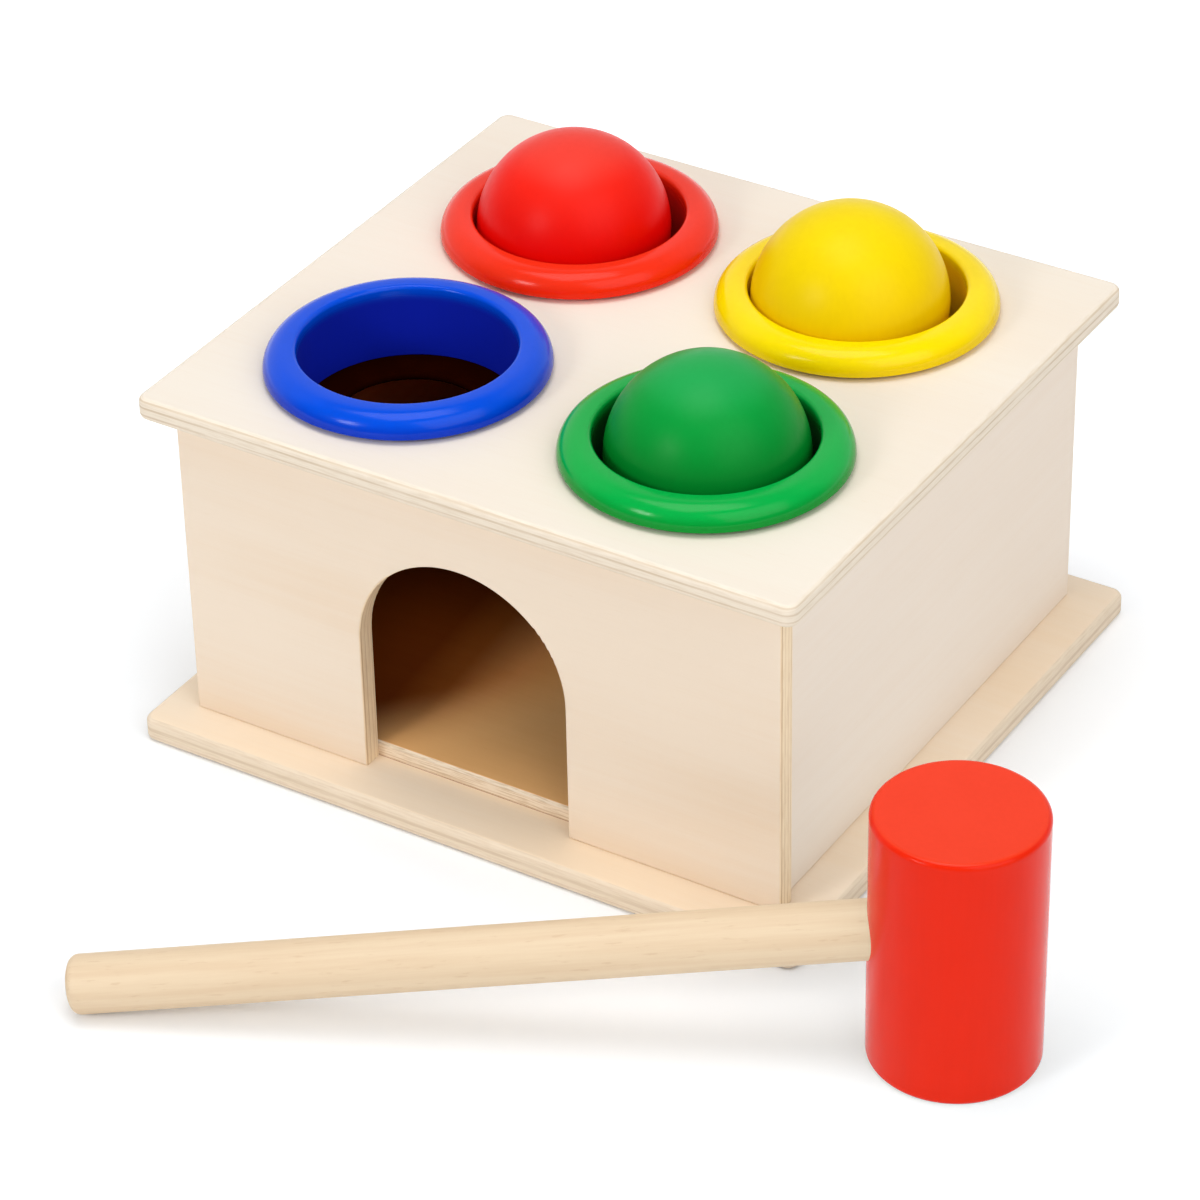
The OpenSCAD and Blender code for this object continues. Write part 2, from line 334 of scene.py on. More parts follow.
# glue lines: depth, half width and strength
plateLines = [(0.05, 0.05, 1.0), (0.28, 0.06, 0.9), (0.62, 0.07, 1.0), (0.90, 0.05, 0.8)]
baseLines = [(0.04, 0.05, 1.0), (0.24, 0.05, 0.6), (0.55, 0.12, 0.65), (0.88, 0.05, 0.3)]
panelLines = [(0.12, 0.07, 1.0), (0.38, 0.06, 0.6), (0.64, 0.08, 0.4), (0.84, 0.07, 0.5)]
rampLines = [(0.14, 0.07, 0.9), (0.32, 0.06, 0.6), (0.80, 0.06, 0.3)]
boards = {
    "base_plate": {"through": "Z", "grain": "X", "seed": 11, "birch": baseBirch, "lines": baseLines},
    "front_panel": {"through": "Y", "grain": "X", "seed": 23, "birch": frontBirch, "lines": panelLines},
    "back_panel": {"through": "Y", "grain": "X", "seed": 37, "birch": sideBirch, "lines": panelLines},
    "left_panel": {"through": "X", "grain": "Y", "seed": 41, "birch": sideBirch, "lines": panelLines},
    "right_panel": {"through": "X", "grain": "Y", "seed": 59, "birch": sideBirch, "lines": panelLines},
    "top_plate": {"through": "Z", "grain": "X", "seed": 67, "birch": birch, "lines": plateLines},
    "ramp": {"through": "Z", "grain": "X", "seed": 73, "birch": rampBirch, "lines": rampLines,
             "tilt": 7.5, "gloss": 0.05, "pores": 0.75},
    "ramp_cleat": {"through": "Z", "grain": "X", "seed": 83, "birch": rampBirch, "lines": rampLines},
}
# painted shadow and painted light on the ramp, darkest at its left end and lightest at the middle of the
# doorway: place across in mm, colour
rampLightAndShade = [(-36.0, "6e3003"), (-26.0, "94511b"), (-14.0, "dc9557"), (-2.0, "f9b56c"), (8.0, "fdbf79")]
rampDoorwayLight = {"slant": 0.94, "start": -14.0, "stop": -42.0, "share": 1.0}      # painted light, growing towards the doorway
cavityLow = Vector((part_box("left_panel")[1].x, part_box("front_panel")[1].y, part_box("base_plate")[1].z)) / mm
cavityHigh = Vector((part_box("right_panel")[0].x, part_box("back_panel")[0].y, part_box("top_plate")[0].z)) / mm
cavityMargin = 0.1      # mm


def insideBox(tree, parts):      # 1 on the faces that shut the balls in
    share = 1.0
    for axis in range(3):
        middle = (cavityLow[axis] + cavityHigh[axis]) / 2
        half = (cavityHigh[axis] - cavityLow[axis]) / 2
        off = calc(tree, "ABSOLUTE", calc(tree, "SUBTRACT", parts[axis], middle))
        share = calc(tree, "MULTIPLY", share, calc(tree, "LESS_THAN", off, half + cavityMargin))
    return share


def makePly(node, board):
    material, tree = newMaterial(node + "_ply")
    wood = {name: tone(code) for name, code in board["birch"].items()}
    tilt = math.radians(board.get("tilt", 0))
    level = Matrix.Rotation(-tilt, 3, "X")
    deep, grain = "XYZ".index(board["through"]), "XYZ".index(board["grain"])
    depths = [(level @ v.co)[deep] / mm for v in nodes[node].data.vertices]
    turn = {"Vector": objectCoords(tree), "Rotation": (-tilt, 0, 0), "Scale": (1 / mm,) * 3}
    parts = separate(tree, put(tree, "ShaderNodeMapping", turn).outputs[0])
    along = calc(tree, "ADD", parts[grain], board["seed"] * plyLook["seedStep"])
    across, through = parts[3 - deep - grain], parts[deep]

    # face veneer: slow clouds of colour, faint streaks along the grain and a few short flecks
    marks = {}
    for name, mark in plyMarks.items():
        way = combine(tree, calc(tree, "DIVIDE", along, mark["stretch"]), across, through)
        marks[name] = noise(tree, way, mark["size"], mark["detail"], mark["roughness"])
    streak, fibre = marks["streak"], marks["fibre"]
    fleck = fade(tree, marks["fleck"], *plyFigure["fleck"])
    clouds, streaks = plyFigure["mixed"]
    figure = calc(tree, "MULTIPLY", marks["cloud"], clouds)
    figure = calc(tree, "ADD", figure, calc(tree, "MULTIPLY", streak, streaks))
    face = mixTone(tree, fade(tree, figure, *plyFigure["broad"]), wood["pale"], wood["warm"])
    face = mixTone(tree, calc(tree, "MULTIPLY", fleck, plyFigure["fleckShare"]), face, plyLook["fleck"])
    face = mixTone(tree, fade(tree, fibre, *plyFigure["fibre"]), face, plyLook["fleck"])

    # edges: glue lines and crossed plies at their own depths, a little uneven along the cut
    stretch = plyCut["stretch"]
    cutAlong, cutAcross = (calc(tree, "DIVIDE", way, stretch) for way in (along, across))
    layered = combine(tree, cutAlong, cutAcross, through)
    wander = calc(tree, "SUBTRACT", noise(tree, layered, plyCut["wanderSize"], 3.0), 0.5)
    depth = partWay(tree, through, min(depths), max(depths))
    waved = calc(tree, "MULTIPLY_ADD", wander, plyCut["wander"], depth)
    lines = 0.0
    for place, half, strength in board["lines"]:
        off = calc(tree, "ABSOLUTE", calc(tree, "SUBTRACT", waved, place))
        lines = calc(tree, "MAXIMUM", lines, fade(tree, off, half, half * plyCut["core"], 0.0, strength))
    breaks = fade(tree, noise(tree, layered, plyCut["breakSize"], 3.0), *plyCut["breaks"])
    lines = calc(tree, "MULTIPLY", lines, breaks)
    pores = noise(tree, layered, plyCut["poreSize"], 3.0, 0.6)
    poreShare = fade(tree, pores, *plyCut["pore"], 0.0, board.get("pores", plyCut["poreShare"]))
    cut = mixTone(tree, poreShare, wood["edge"], wood["line"])
    cut = mixTone(tree, lines, cut, wood["line"])
    rim = calc(tree, "MINIMUM", depth, calc(tree, "SUBTRACT", 1.0, depth))
    onEdge = fade(tree, rim, *plyCut["rim"])

    # painted shade within the box: the walls darkened all over, and on the ramp a painted shadow left of the
    # doorway and painted light towards it
    if node == "ramp":
        near = calc(tree, "SUBTRACT", parts[1], calc(tree, "MULTIPLY", parts[0], rampDoorwayLight["slant"]))
        doorwayLit = fade(tree, near, rampDoorwayLight["start"], rampDoorwayLight["stop"], 0.0, rampDoorwayLight["share"])
        rampShading = mixTone(tree, doorwayLit, toneSteps(tree, parts[0], rampLightAndShade), plyLook["sillLight"])
        face = mixTone(tree, 1.0, face, rampShading, "MULTIPLY")
    shade = mixTone(tree, onEdge, face, cut)
    # painted shade: the faces within the box are darkened as if in shadow
    if node != "ramp":
        shadedInside = mixTone(tree, 1.0, face, plyLook["insideShade"], "MULTIPLY")
        shade = mixTone(tree, insideBox(tree, parts), shade, shadedInside)

    # the finish follows the streaks and fibres, with flecks, pores and glue lines a little sunk
    relief = calc(tree, "SUBTRACT", calc(tree, "ADD", streak, fibre), fleck)
    relief = calc(tree, "MULTIPLY", relief, plyFigure["relief"])
    relief = calc(tree, "SUBTRACT", relief, calc(tree, "MULTIPLY", onEdge, calc(tree, "ADD", pores, lines)))
    rough = fade(tree, streak, *noiseSpread, *plyLook["roughness"])
    gloss = board.get("gloss", plyLook["gloss"])
    finishMaterial(tree, shade, rough, gloss, roughen(tree, relief, *plyLook["bump"]))
    return material


for name, board in boards.items():
    nodes[name].data.materials[0] = makePly(name, board)
print("plywood on", len(boards), "boards")

# Paint on turned wood: a lighter tone on top is painted light; the low tone is painted shade at a ball's waist,
# at the foot of the hammer's head and in a ring's bore, where the yellow ring has painted light instead
satin = {"rough": (0.34, 0.41), "gloss": 0.09}
lacquer = {"rough": (0.14, 0.20), "gloss": 0.16, "boreRough": 0.85}
enamel = {"rough": (0.14, 0.22), "gloss": 0.12}
paints = {
    "red_ball": {"litTop": "f24236", "colour": "f82618", "low": "ec0602", "coat": satin},
    "yellow_ball": {"litTop": "f7da0a", "colour": "f7d800", "low": "f5ce00", "coat": satin},
    "green_ball": {"litTop": "20a751", "colour": "039b3b", "low": "00842a", "coat": satin},
    "blue_ball": {"litTop": "0e54e2", "colour": "0046d5", "low": "0032b4", "coat": satin},
    "red_ring": {"litTop": "f33218", "colour": "ee2605", "low": "d41407", "coat": lacquer},
    "yellow_ring": {"litTop": "fde000", "colour": "f3d000", "low": "fed200", "coat": lacquer},
    "green_ring": {"litTop": "04ac46", "colour": "009330", "low": "005e18", "coat": lacquer},
    "blue_ring": {"litTop": "004edd", "colour": "0037c4", "low": "001cb2", "coat": lacquer},
    "hammer_head": {"litTop": "f03d1e", "colour": "eb2709", "low": "c01a06", "coat": enamel},
}
paintLook = {
    "mottled": (0.975, 0.962, 0.962, 1.0),
    "mottleSize": 9.0,      # mm
    "grainSize": 1.2,
    "grainStretch": (1.0, 1.0, 0.08),      # turned grain under the coat
    "peelSize": 2.2,
    "blotch": (0.7, 1.4),
    "dulled": (0.7, 1.3),
    "bump": (0.12, 0.05 * mm),
    "boreEdge": 1.0 * mm,      # how far past the bore its painted shade may reach
}


# heights in metres: painted light brightens the top over the first pair, painted shade darkens with the low tone
# down the second
def makePaint(name, litTop, shadingHeights, bore=None):
    material, tree = newMaterial(name + "_paint")
    paint, look = paints[name], paintLook
    coat = paint["coat"]
    coords = objectCoords(tree)
    inMm = inMillimetres(tree, coords)
    grainWay = vectorCalc(tree, "MULTIPLY", inMm, look["grainStretch"])
    mottle = noise(tree, inMm, look["mottleSize"], 3.0)
    grain = noise(tree, grainWay, look["grainSize"], 3.0)
    peel = noise(tree, inMm, look["peelSize"])
    blotch = calc(tree, "ADD", mottle, grain)
    rough = fade(tree, blotch, *look["dulled"], *coat["rough"])
    height = separate(tree, coords)[2]
    # painted light: the top turns to a lighter tone
    shade = mixTone(tree, fade(tree, height, *litTop), tone(paint["colour"]), tone(paint["litTop"]))
    # painted shade: the low tone grows downwards, in a ring only within its bore, and is painted light in the
    # yellow ring
    share = fade(tree, height, *shadingHeights)
    if bore:
        middle, radius = bore
        off = vectorCalc(tree, "MULTIPLY", vectorCalc(tree, "SUBTRACT", coords, middle), (1, 1, 0))
        within = calc(tree, "LESS_THAN", measure(tree, "LENGTH", off), radius + look["boreEdge"])
        share = calc(tree, "MULTIPLY", share, within)
        rough = calc(tree, "MAXIMUM", rough, calc(tree, "MULTIPLY", share, coat["boreRough"]))
    shade = mixTone(tree, share, shade, tone(paint["low"]))
    shade = mixTone(tree, fade(tree, blotch, *look["blotch"]), shade, look["mottled"], "MULTIPLY")
    finishMaterial(tree, shade, rough, coat["gloss"], roughen(tree, peel, *look["bump"]))
    return material


# Elastic of the lips
lipRubber = {
    "dark": tone("1c0400"),
    "dusty": tone("200500"),
    "dustSize": 6.0,      # mm
    "skinSize": 0.4,
    "dusted": (0.4, 0.7),
    "rough": (0.70, 0.85),
    "gloss": 0.0,
    "bump": (0.2, 0.04 * mm),
}


def makeRubber():
    look = lipRubber
    material, tree = newMaterial("lip_rubber")
    inMm = inMillimetres(tree, objectCoords(tree))
    dust = noise(tree, inMm, look["dustSize"], 4.0, 0.6)
    skin = noise(tree, inMm, look["skinSize"])
    shade = mixTone(tree, fade(tree, dust, *look["dusted"]), look["dark"], look["dusty"])
    rough = fade(tree, dust, *noiseSpread, *look["rough"])
    finishMaterial(tree, shade, rough, look["gloss"], roughen(tree, skin, *look["bump"]))
    return material


# Bare birch dowel, grained along its own length
dowelLook = {
    "pale": tone("e9d3b4"),
    "warm": tone("e3caaa"),
    "dark": tone("cba781"),
    "endGrain": tone("d8ba94"),
    "pith": (2.4, -1.6, 0.0),      # mm off the dowel's axis
    "taper": (1.0, 1.0, 0.004),      # growth rings drift slowly along it
    "ringWidth": 1.5,
    "longGrain": (1.0, 1.0, 0.04),
    "shortGrain": (1.0, 1.0, 0.14),
    "streakSize": 2.2,
    "fibreSize": 0.5,
    "fleckSize": 0.7,
    "streak": (0.34, 0.68),      # where each mark begins and is full, and how strongly it shows
    "ring": (0.2, 1.0, 0.0, 0.12),
    "fleck": (0.62, 0.74),
    "fleckShare": 0.26,
    "fibre": (0.50, 0.78, 0.0, 0.08),
    "endRing": (-0.4, 0.9),
    "endFade": (1.2, 0.2),      # mm before the end
    "rough": (0.44, 0.58),
    "gloss": 0.25,
    "bump": (0.35, 0.08 * mm),
}


def makeDowel(length):
    look = dowelLook
    material, tree = newMaterial("hammer_dowel")
    inMm = inMillimetres(tree, put(tree, "ShaderNodeAttribute", attribute_name="blank").outputs["Vector"])
    longWay = vectorCalc(tree, "MULTIPLY", inMm, look["longGrain"])
    shortWay = vectorCalc(tree, "MULTIPLY", inMm, look["shortGrain"])
    streak = noise(tree, longWay, look["streakSize"], 5.0, 0.6)
    fibre = noise(tree, longWay, look["fibreSize"], 3.0, 0.6)
    fleck = fade(tree, noise(tree, shortWay, look["fleckSize"]), *look["fleck"])
    flat = vectorCalc(tree, "MULTIPLY", vectorCalc(tree, "SUBTRACT", inMm, look["pith"]), look["taper"])
    radius = calc(tree, "ADD", measure(tree, "LENGTH", flat), streak)
    rings = calc(tree, "SINE", calc(tree, "MULTIPLY", radius, 2 * math.pi / look["ringWidth"]))
    shade = mixTone(tree, fade(tree, streak, *look["streak"]), look["pale"], look["warm"])
    shade = mixTone(tree, fade(tree, rings, *look["ring"]), shade, look["warm"])
    shade = mixTone(tree, calc(tree, "MULTIPLY", fleck, look["fleckShare"]), shade, look["dark"])
    shade = mixTone(tree, fade(tree, fibre, *look["fibre"]), shade, look["dark"])
    start, stop = (length / mm - short for short in look["endFade"])
    endward = fade(tree, separate(tree, inMm)[2], start, stop)
    ends = mixTone(tree, fade(tree, rings, *look["endRing"]), look["warm"], look["endGrain"])
    shade = mixTone(tree, endward, shade, ends)
    relief = calc(tree, "SUBTRACT", calc(tree, "ADD", streak, fibre), fleck)
    rough = fade(tree, streak, *noiseSpread, *look["rough"])
    finishMaterial(tree, shade, rough, look["gloss"], roughen(tree, relief, *look["bump"]))
    return material


# Lathe: a section of corners, each with its own rounding, turned about an upright axis
cornerLimit = 8
weld = 0.002 * mm      # points closer than this are one


def cornerName(i):
    return "Corner %d" % (i + 1)


def newTree(name, sockets):
    tree = bpy.data.node_groups.new(name, "GeometryNodeTree")
    for label, kind in sockets:
        tree.interface.new_socket(label, in_out="INPUT", socket_type="NodeSocket" + kind)
    tree.interface.new_socket("Geometry", in_out="OUTPUT", socket_type="NodeSocketGeometry")
    return tree, put(tree, "NodeGroupInput").outputs


def position(tree):
    return put(tree, "GeometryNodeInputPosition").outputs[0]


def shape(tree, kind, geometry, inputs, **settings):      # a node that changes the geometry it is given
    sockets = {0: geometry}
    sockets.update(inputs)
    return put(tree, kind, sockets, **settings).outputs[0]


def unevenness(tree, given):      # never outwards, so the piece keeps its size
    sockets = {"Vector": position(tree), "W": given["Seed"], "Scale": given["Feature"], "Detail": 1.0}
    wave = put(tree, "ShaderNodeTexNoise", sockets, noise_dimensions="4D").outputs[0]
    return calc(tree, "MULTIPLY", wave, calc(tree, "MULTIPLY", given["Unevenness"], -1.0))


def closeTree(tree, mesh, material):
    smooth = shape(tree, "GeometryNodeSetShadeSmooth", mesh, {})
    real = shape(tree, "GeometryNodeRealizeInstances", smooth, {})
    done = shape(tree, "GeometryNodeSetMaterial", real, {"Material": material})
    put(tree, "NodeGroupOutput", {"Geometry": done})
    return tree


def makeLatheTree():
    tree, given = newTree("turningLathe", [(cornerName(i), "Vector") for i in range(cornerLimit)] + [
        ("Corners", "Int"), ("Closed", "Bool"), ("Rounding Steps", "Int"), ("Longest Step", "Float"),
        ("Segments", "Int"), ("Unevenness", "Float"), ("Feature", "Float"), ("Seed", "Float"),
        ("Lean", "Vector"), ("Lean Start", "Float"), ("Lean End", "Float"),
        ("Turn", "Rotation"), ("Place", "Vector"), ("Material", "Material"),
    ])
    railRadius = 10 * mm
    index = put(tree, "GeometryNodeInputIndex").outputs[0]
    pick = put(tree, "GeometryNodeIndexSwitch", data_type="VECTOR")
    while len(pick.index_switch_items) < cornerLimit:
        pick.index_switch_items.new()
    tree.links.new(index, pick.inputs["Index"])
    for i in range(cornerLimit):
        tree.links.new(given[cornerName(i)], pick.inputs[i + 1])

    # section: a line of corners, laid flat beside the rail and rounded
    radius, height, rounding = separate(tree, pick.outputs[0])
    line = put(tree, "GeometryNodeMeshLine", {"Count": given["Corners"]}).outputs[0]
    line = shape(tree, "GeometryNodeStoreNamedAttribute", line, {"Name": "rounding", "Value": rounding})
    outward, down = calc(tree, "SUBTRACT", radius, railRadius), calc(tree, "MULTIPLY", height, -1.0)
    line = shape(tree, "GeometryNodeSetPosition", line, {"Position": combine(tree, outward, down, 0.0)})
    curve = shape(tree, "GeometryNodeMeshToCurve", line, {})
    curve = shape(tree, "GeometryNodeSetSplineCyclic", curve, {"Cyclic": given["Closed"]})
    curve = shape(tree, "GeometryNodeFilletCurve", curve, {
        "Count": given["Rounding Steps"], "Limit Radius": True,
        "Radius": put(tree, "GeometryNodeInputNamedAttribute", {"Name": "rounding"}).outputs[0],
    }, mode="POLY")

    # long straight runs are split, so that every stretch can be uneven
    count = shape(tree, "GeometryNodeAttributeDomainSize", curve, {}, component="CURVE")
    following = calc(tree, "MODULO", calc(tree, "ADD", index, 1.0), count)
    place = position(tree)
    asked = {"Value": place, "Index": following}
    ahead = put(tree, "GeometryNodeFieldAtIndex", asked, data_type="FLOAT_VECTOR")
    run = measure(tree, "DISTANCE", place, ahead.outputs[0])
    cuts = calc(tree, "FLOOR", calc(tree, "DIVIDE", run, given["Longest Step"]))
    curve = shape(tree, "GeometryNodeSubdivideCurve", curve, {"Cuts": cuts})
    circle = {"Resolution": given["Segments"], "Radius": railRadius}
    rail = put(tree, "GeometryNodeCurvePrimitiveCircle", circle)
    solid = shape(tree, "GeometryNodeCurveToMesh", rail.outputs[0], {"Profile Curve": curve})
    solid = shape(tree, "GeometryNodeMergeByDistance", solid, {"Distance": weld})
    solid = shape(tree, "GeometryNodeFlipFaces", solid, {})      # outwards

    # the inner edge may lean off centre
    spread = measure(tree, "LENGTH", vectorCalc(tree, "MULTIPLY", place, (1, 1, 0)))
    shift = scaled(tree, given["Lean"], partWay(tree, spread, given["Lean Start"], given["Lean End"]))
    wave = scaled(tree, put(tree, "GeometryNodeInputNormal").outputs[0], unevenness(tree, given))
    blank = {"Name": "blank", "Value": place}
    solid = shape(tree, "GeometryNodeStoreNamedAttribute", solid, blank, data_type="FLOAT_VECTOR")
    solid = shape(tree, "GeometryNodeSetPosition", solid, {"Offset": vectorCalc(tree, "ADD", shift, wave)})
    stand = {"Translation": given["Place"], "Rotation": given["Turn"]}
    solid = shape(tree, "GeometryNodeTransform", solid, stand)
    return closeTree(tree, solid, given["Material"])


def makeBallTree():
    tree, given = newTree("paintedBall", [
        ("Radius", "Float"), ("Centre", "Vector"), ("Divisions", "Int"), ("Unevenness", "Float"),
        ("Feature", "Float"), ("Seed", "Float"), ("Material", "Material"),
    ])
    cube = put(tree, "GeometryNodeMeshCube", {"Vertices " + axis: given["Divisions"] for axis in "XYZ"})
    outward = vectorCalc(tree, "NORMALIZE", position(tree))
    rounded = {"Position": scaled(tree, outward, given["Radius"])}
    ball = shape(tree, "GeometryNodeSetPosition", cube.outputs[0], rounded)
    wave = scaled(tree, outward, unevenness(tree, given))
    moved = {"Offset": vectorCalc(tree, "ADD", wave, given["Centre"])}
    ball = shape(tree, "GeometryNodeSetPosition", ball, moved)
    ball = shape(tree, "GeometryNodeMergeByDistance", ball, {"Distance": weld})
    return closeTree(tree, ball, given["Material"])


latheTree = makeLatheTree()
ballTree = makeBallTree()


def grow(name, tree, values):      # runs a tree and keeps its result as a plain mesh
    holder = bpy.data.objects.new(name, bpy.data.meshes.new(name + "_holder"))
    scene.collection.objects.link(holder)
    modifier = holder.modifiers.new("grow", "NODES")
    modifier.node_group = tree
    for item in tree.interface.items_tree:
        if item.name in values:
            modifier[item.identifier] = values[item.name]
    seen = holder.evaluated_get(bpy.context.evaluated_depsgraph_get())
    mesh = bpy.data.meshes.new_from_object(seen)
    mesh.name = name
    holder.modifiers.clear()
    holder.data = mesh
    return holder


def turned(name, section, values):
    sizes = {"Corners": len(section), "Lean": (0.0, 0.0, 0.0), "Lean Start": 1.0, "Lean End": 2.0}
    sizes.update({cornerName(i): corner for i, corner in enumerate(section)})
    sizes.update(values)
    return grow(name, latheTree, sizes)


def dress(piece, node, body):
    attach(piece, body)
    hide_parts(node)


def centreOf(node):
    low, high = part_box(node)
    return (low + high) / 2


# Top and base plates: edges sanded round, corners too, and holes for the sleeves in the top
plateShape = {
    "corner": 3.0 * mm,
    "arris": 1.4 * mm,
    "cornerSteps": 8,
    "arrisSteps": 7,
    "hole": 26.55 * mm,
    "holeSteps": 96,
}


def plateLoop(mesh, low, high, inset, height):
    corner, steps = plateShape["corner"], plateShape["cornerSteps"]
    reach = corner - inset
    middles = [(high.x - corner, high.y - corner), (low.x + corner, high.y - corner),
               (low.x + corner, low.y + corner), (high.x - corner, low.y + corner)]
    loop = []
    for quarter, (x, y) in enumerate(middles):
        for step in range(steps + 1):
            turn = (quarter + step / steps) * math.pi / 2
            loop.append(mesh.verts.new((x + reach * math.cos(turn), y + reach * math.sin(turn), height)))
    return loop


def holeLoop(mesh, middle, height):
    radius, steps = plateShape["hole"], plateShape["holeSteps"]
    loop = []
    for step in range(steps):
        turn = 2 * math.pi * step / steps
        place = (middle.x + radius * math.cos(turn), middle.y + radius * math.sin(turn), height)
        loop.append(mesh.verts.new(place))
    return loop


def bridge(mesh, first, second):
    for i in range(len(first)):
        following = (i + 1) % len(first)
        face = mesh.faces.new((first[i], first[following], second[following], second[i]))
        face.smooth = True


def fillFace(mesh, loops):      # flat face between an outline and its holes
    edges = [mesh.edges.get((loop[i - 1], loop[i])) for loop in loops for i in range(len(loop))]
    bmesh.ops.triangle_fill(mesh, use_beauty=True, use_dissolve=False, edges=edges, normal=(0, 0, 1))


def makePlate(name, holes):
    low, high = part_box(name)
    arris, steps = plateShape["arris"], plateShape["arrisSteps"]
    turns = [math.pi / 2 * i / steps for i in range(steps + 1)]
    curve = [(arris * (1 - math.sin(t)), arris * (1 - math.cos(t))) for t in turns]      # inset, rise
    mesh = bmesh.new()
    loops = [plateLoop(mesh, low, high, inset, low.z + rise) for inset, rise in curve]
    loops += [plateLoop(mesh, low, high, inset, high.z - rise) for inset, rise in reversed(curve)]
    for first, second in zip(loops, loops[1:]):
        bridge(mesh, first, second)
    under = [holeLoop(mesh, middle, low.z) for middle in holes]
    over = [holeLoop(mesh, middle, high.z) for middle in holes]
    for first, second in zip(under, over):
        bridge(mesh, first, second)
    fillFace(mesh, [loops[0]] + under)
    fillFace(mesh, [loops[-1]] + over)
    bmesh.ops.recalc_face_normals(mesh, faces=list(mesh.faces))
    data = bpy.data.meshes.new("sanded_" + name)
    mesh.to_mesh(data)
    mesh.free()
    data.materials.append(nodes[name].data.materials[0])
    piece = bpy.data.objects.new("sanded_" + name, data)
    scene.collection.objects.link(piece)
    dress(piece, name, "box")


makePlate("base_plate", [])
makePlate("top_plate", [centreOf(colour + "_ring") for colour in colours])
print("plates sanded")

# Rings: sleeve and bead in one section
ringShape = {
    "bore": 24.5 * mm,
    "sleeve": 26.5 * mm,
    "innerRound": 1.1 * mm,
    "outerRound": 5.0 * mm,
    "undercut": (2.0 * mm, 1.3 * mm),
    "waistRound": 0.35 * mm,
    "foot": 0.25 * mm,
    "boreShadingRun": 3.0 * mm,      # run of the bore over which painted shade darkens the colour, painted light in the yellow ring
    "litTop": (4.2 * mm, 1.4 * mm),      # depths between which the side's tone turns to the lighter top, which is painted light
    "unevenness": 0.10 * mm,
    "feature": 60.0,      # waves per metre
    "step": 1.5 * mm,
    "roundSteps": 10,
    "segments": 144,
    "firstSeed": 3,
}


def makeRing(colour, seed):
    name = colour + "_ring"
    look = ringShape
    low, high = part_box(name)
    outer = (high.x - low.x) / 2
    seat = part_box("top_plate")[1].z
    middle = centreOf(name)
    crest = high.z - look["innerRound"]
    litTop = [high.z - depth for depth in look["litTop"]]
    inset, waist = look["undercut"]
    section = [
        (look["bore"], low.z, look["foot"]),
        (look["sleeve"], low.z, look["foot"]),
        (look["sleeve"], seat, 0.0),
        (outer - inset, seat, 0.0),
        (outer, seat + waist, look["waistRound"]),
        (outer, high.z, look["outerRound"]),
        (look["bore"], high.z, look["innerRound"]),
    ]
    paint = makePaint(name, litTop, (crest, crest - look["boreShadingRun"]), (middle, look["bore"]))
    piece = turned("turned_" + name, section, {
        "Closed": True, "Rounding Steps": look["roundSteps"], "Longest Step": look["step"],
        "Segments": look["segments"], "Unevenness": look["unevenness"], "Feature": look["feature"],
        "Seed": float(look["firstSeed"] + seed), "Place": (middle.x, middle.y, 0.0), "Material": paint,
    })
    dress(piece, name, "box")


# Lips: a collar round the sleeve, and a web with a round edge that follows the ball
lipShape = {
    "collarInner": 26.55 * mm,
    "web": 2.0 * mm,
    "edge": 0.98 * mm,
    "corner": 0.3 * mm,
    "unevenness": 0.05 * mm,
    "feature": 80.0,
    "step": 1.5 * mm,
    "roundSteps": 6,
    "segments": 128,
    "firstSeed": 13,
}


def makeLip(colour, seed, rubber):
    name = colour + "_lip"
    look = lipShape
    low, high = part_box(name)
    outer = (high.x - low.x) / 2
    middle = centreOf(name)
    lean = Vector((0, 0, 0)) if colour == "blue" else centreOf(colour + "_ball") - middle
    held = middle + lean
    inner = min(math.hypot(v.co.x - held.x, v.co.y - held.y) for v in nodes[name].data.vertices)
    webTop = low.z + look["web"]
    section = [
        (inner, low.z, look["edge"]),
        (outer, low.z, look["corner"]),
        (outer, high.z, look["corner"]),
        (look["collarInner"], high.z, 0.0),
        (look["collarInner"], webTop, 0.0),
        (inner, webTop, look["edge"]),
    ]
    piece = turned("elastic_" + name, section, {
        "Closed": True, "Rounding Steps": look["roundSteps"], "Longest Step": look["step"],
        "Segments": look["segments"], "Unevenness": look["unevenness"], "Feature": look["feature"],
        "Seed": float(look["firstSeed"] + seed), "Place": (middle.x, middle.y, 0.0), "Material": rubber,
        "Lean": (lean.x, lean.y, 0.0), "Lean Start": look["collarInner"], "Lean End": inner,
    })
    dress(piece, name, "box")


# Balls: hand-finished spheres
ballShape = {
    "unevenness": 0.10 * mm,
    "feature": 55.0,      # waves per metre
    "divisions": 56,
    "paintedShadeBelow": (20.0 * mm, 5.0 * mm),      # heights over the centre between which painted shade darkens the ball downwards
    # heights over the centre between which painted light brightens the top
    "litTop": (16.0 * mm, 22.0 * mm),
    "firstSeed": 23,
}


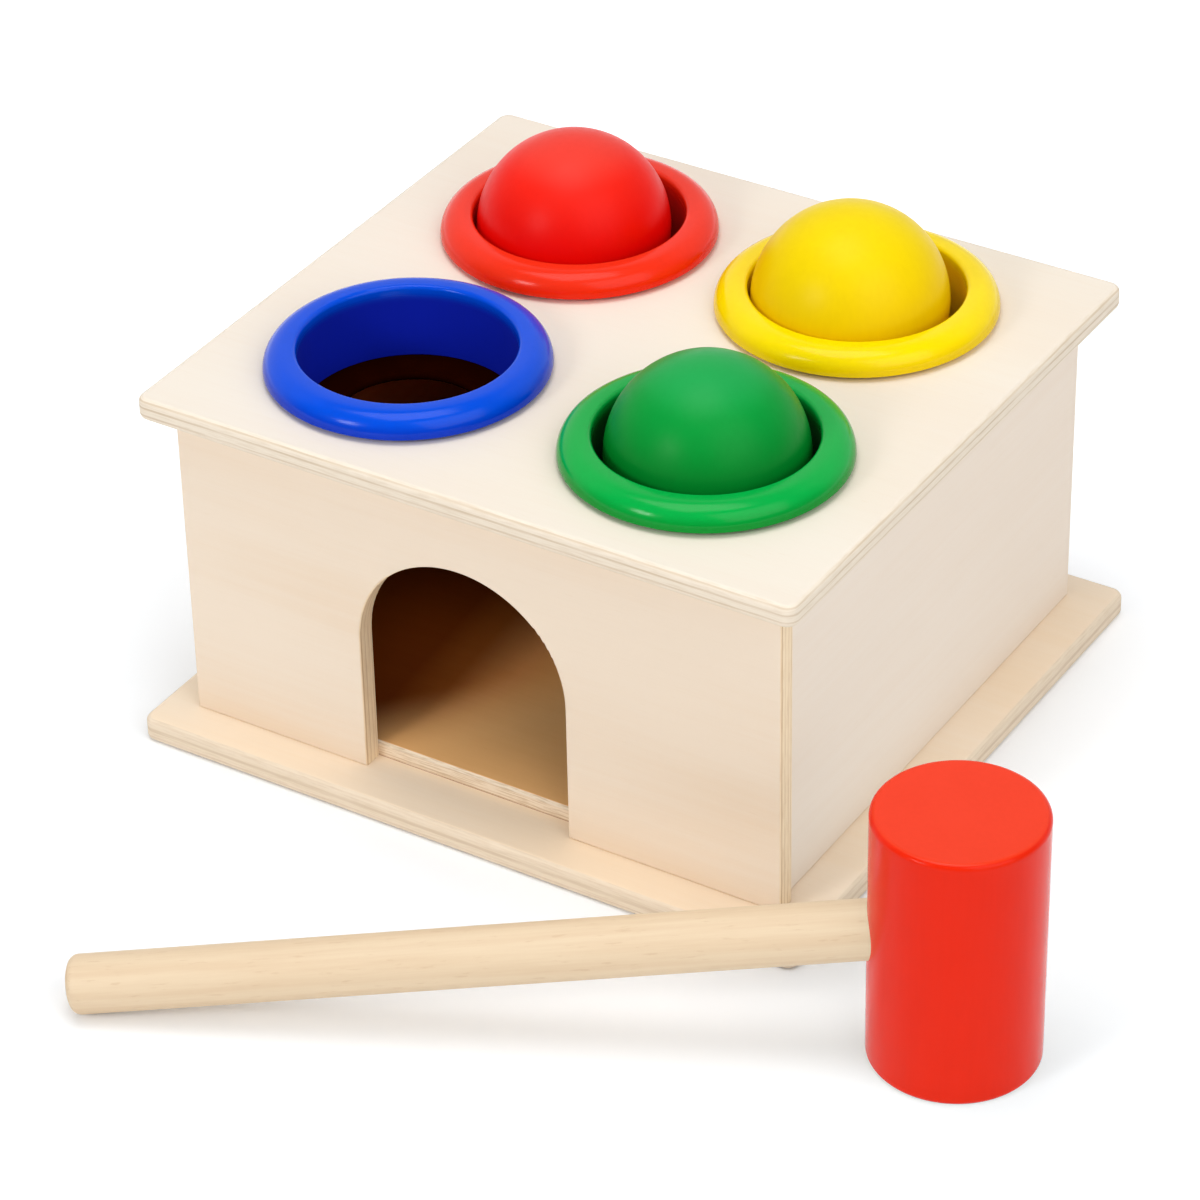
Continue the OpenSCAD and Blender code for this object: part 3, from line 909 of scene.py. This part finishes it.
def makeBall(colour, seed):
    name = colour + "_ball"
    look = ballShape
    low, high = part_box(name)
    middle = centreOf(name)
    paintedShadeBelow = [middle.z + rise for rise in look["paintedShadeBelow"]]
    litTop = [middle.z + rise for rise in look["litTop"]]
    piece = grow("painted_" + name, ballTree, {
        "Radius": (high.z - low.z) / 2, "Centre": tuple(middle), "Divisions": look["divisions"],
        "Unevenness": look["unevenness"], "Feature": look["feature"],
        "Seed": float(look["firstSeed"] + seed), "Material": makePaint(name, litTop, paintedShadeBelow),
    })
    dress(piece, name, name)


rubber = makeRubber()
for seed, colour in enumerate(colours):
    makeRing(colour, seed)
    makeLip(colour, seed, rubber)
    makeBall(colour, seed)
print("rings, lips and balls turned")

# Hammer: painted head as built, and a dowel with its own grain
hammer = {
    "heading": 206.0,
    "rake": 8.3,
    "reach": 188.5 * mm,
    "past": 6.0 * mm,      # length in the head beyond its axis
    "radius": 6.5 * mm,
    "endRound": 2.0 * mm,
    "litTop": (0.30 * mm, 0.03 * mm),      # depths between which the side turns to the lighter top, which is painted light
    "foot": (0.9 * mm, 0.1 * mm),      # rises over which painted shade darkens the coat towards the floor
    "unevenness": 0.08 * mm,
    "feature": 40.0,
    "step": 2.0 * mm,
    "roundSteps": 10,
    "segments": 72,
    "seed": 51.0,
}


def makeHammer():
    head = nodes["hammer_head"]
    low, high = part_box("hammer_head")
    litTop = [high.z - depth for depth in hammer["litTop"]]
    foot = [low.z + rise for rise in hammer["foot"]]
    # painted light on the top face, painted shade at the foot
    head.data.materials[0] = makePaint("hammer_head", litTop, foot)
    head.visible_diffuse = False      # no red cast on the pale wood and floor

    rake, heading = math.radians(hammer["rake"]), math.radians(hammer["heading"])
    top, bottom, radius, endRound = hammer["reach"], -hammer["past"], hammer["radius"], hammer["endRound"]
    endRise = endRound * (1 - math.sin(rake)) + (radius - endRound) * math.cos(rake)
    middle = centreOf("hammer_head")
    grip = (middle.x, middle.y, endRise + top * math.sin(rake))
    section = [(0.0, bottom, 0.0), (radius, bottom, 0.0), (radius, top, endRound), (0.0, top, 0.0)]
    piece = turned("turned_handle", section, {
        "Closed": False, "Rounding Steps": hammer["roundSteps"], "Longest Step": hammer["step"],
        "Segments": hammer["segments"], "Unevenness": hammer["unevenness"], "Feature": hammer["feature"],
        "Seed": hammer["seed"], "Turn": Euler((0, math.pi / 2 + rake, heading), "XYZ"), "Place": grip,
        "Material": makeDowel(top),
    })
    dress(piece, "hammer_handle", "hammer")


makeHammer()
print("hammer made")
